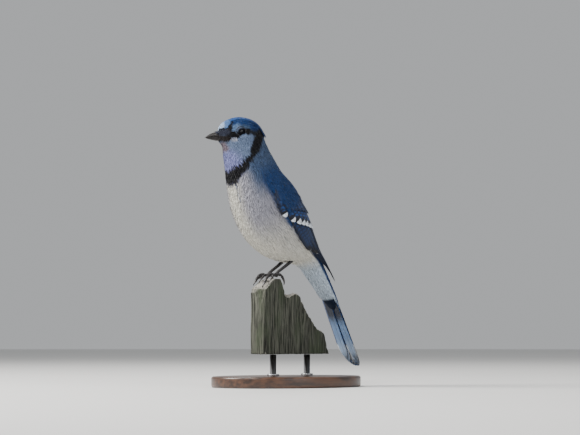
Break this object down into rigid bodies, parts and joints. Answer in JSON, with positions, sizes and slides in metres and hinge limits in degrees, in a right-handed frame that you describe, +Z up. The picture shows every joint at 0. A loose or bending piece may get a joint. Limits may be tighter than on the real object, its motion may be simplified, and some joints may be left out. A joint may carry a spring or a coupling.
{
  "type": "perched blue jay model",
  "caption": "Life-size still model of a perched blue jay that grips the worn top of a cut fence picket, held up by a small oval display stand",
  "frame": {"origin": "middle of the stand base's underside, on the floor", "axes": "+Z up, -X the way the jay's body heads, +Y its right side"},
  "size_m": [0.1621, 0.108, 0.2468],
  "materials": {
    "plumage_blue": "soft overlapping feathers",
    "plumage_pale": "soft body feathers",
    "eye": "wet and glossy",
    "horn": "smooth horn with a low sheen",
    "scaly_skin": "scaly skin and horn claws",
    "weathered_wood": "grey, cracked and unpainted",
    "base_wood": "dark satin",
    "rod_metal": "brushed"
  },
  "bodies": {
    "root": {"head": "plumage_blue", "neck": "plumage_pale", "torso": "plumage_pale", "tail": "plumage_blue", "wing_left": "plumage_blue", "wing_right": "plumage_blue", "eye_left": "eye", "eye_right": "eye", "bill_upper": "horn", "bill_lower": "horn", "leg_left": "scaly_skin", "leg_right": "scaly_skin", "foot_left": "scaly_skin", "foot_right": "scaly_skin", "perch": "weathered_wood", "stand_base": "base_wood", "stand_rod_front": "rod_metal", "stand_rod_rear": "rod_metal"}
  },
  "joints": []
}
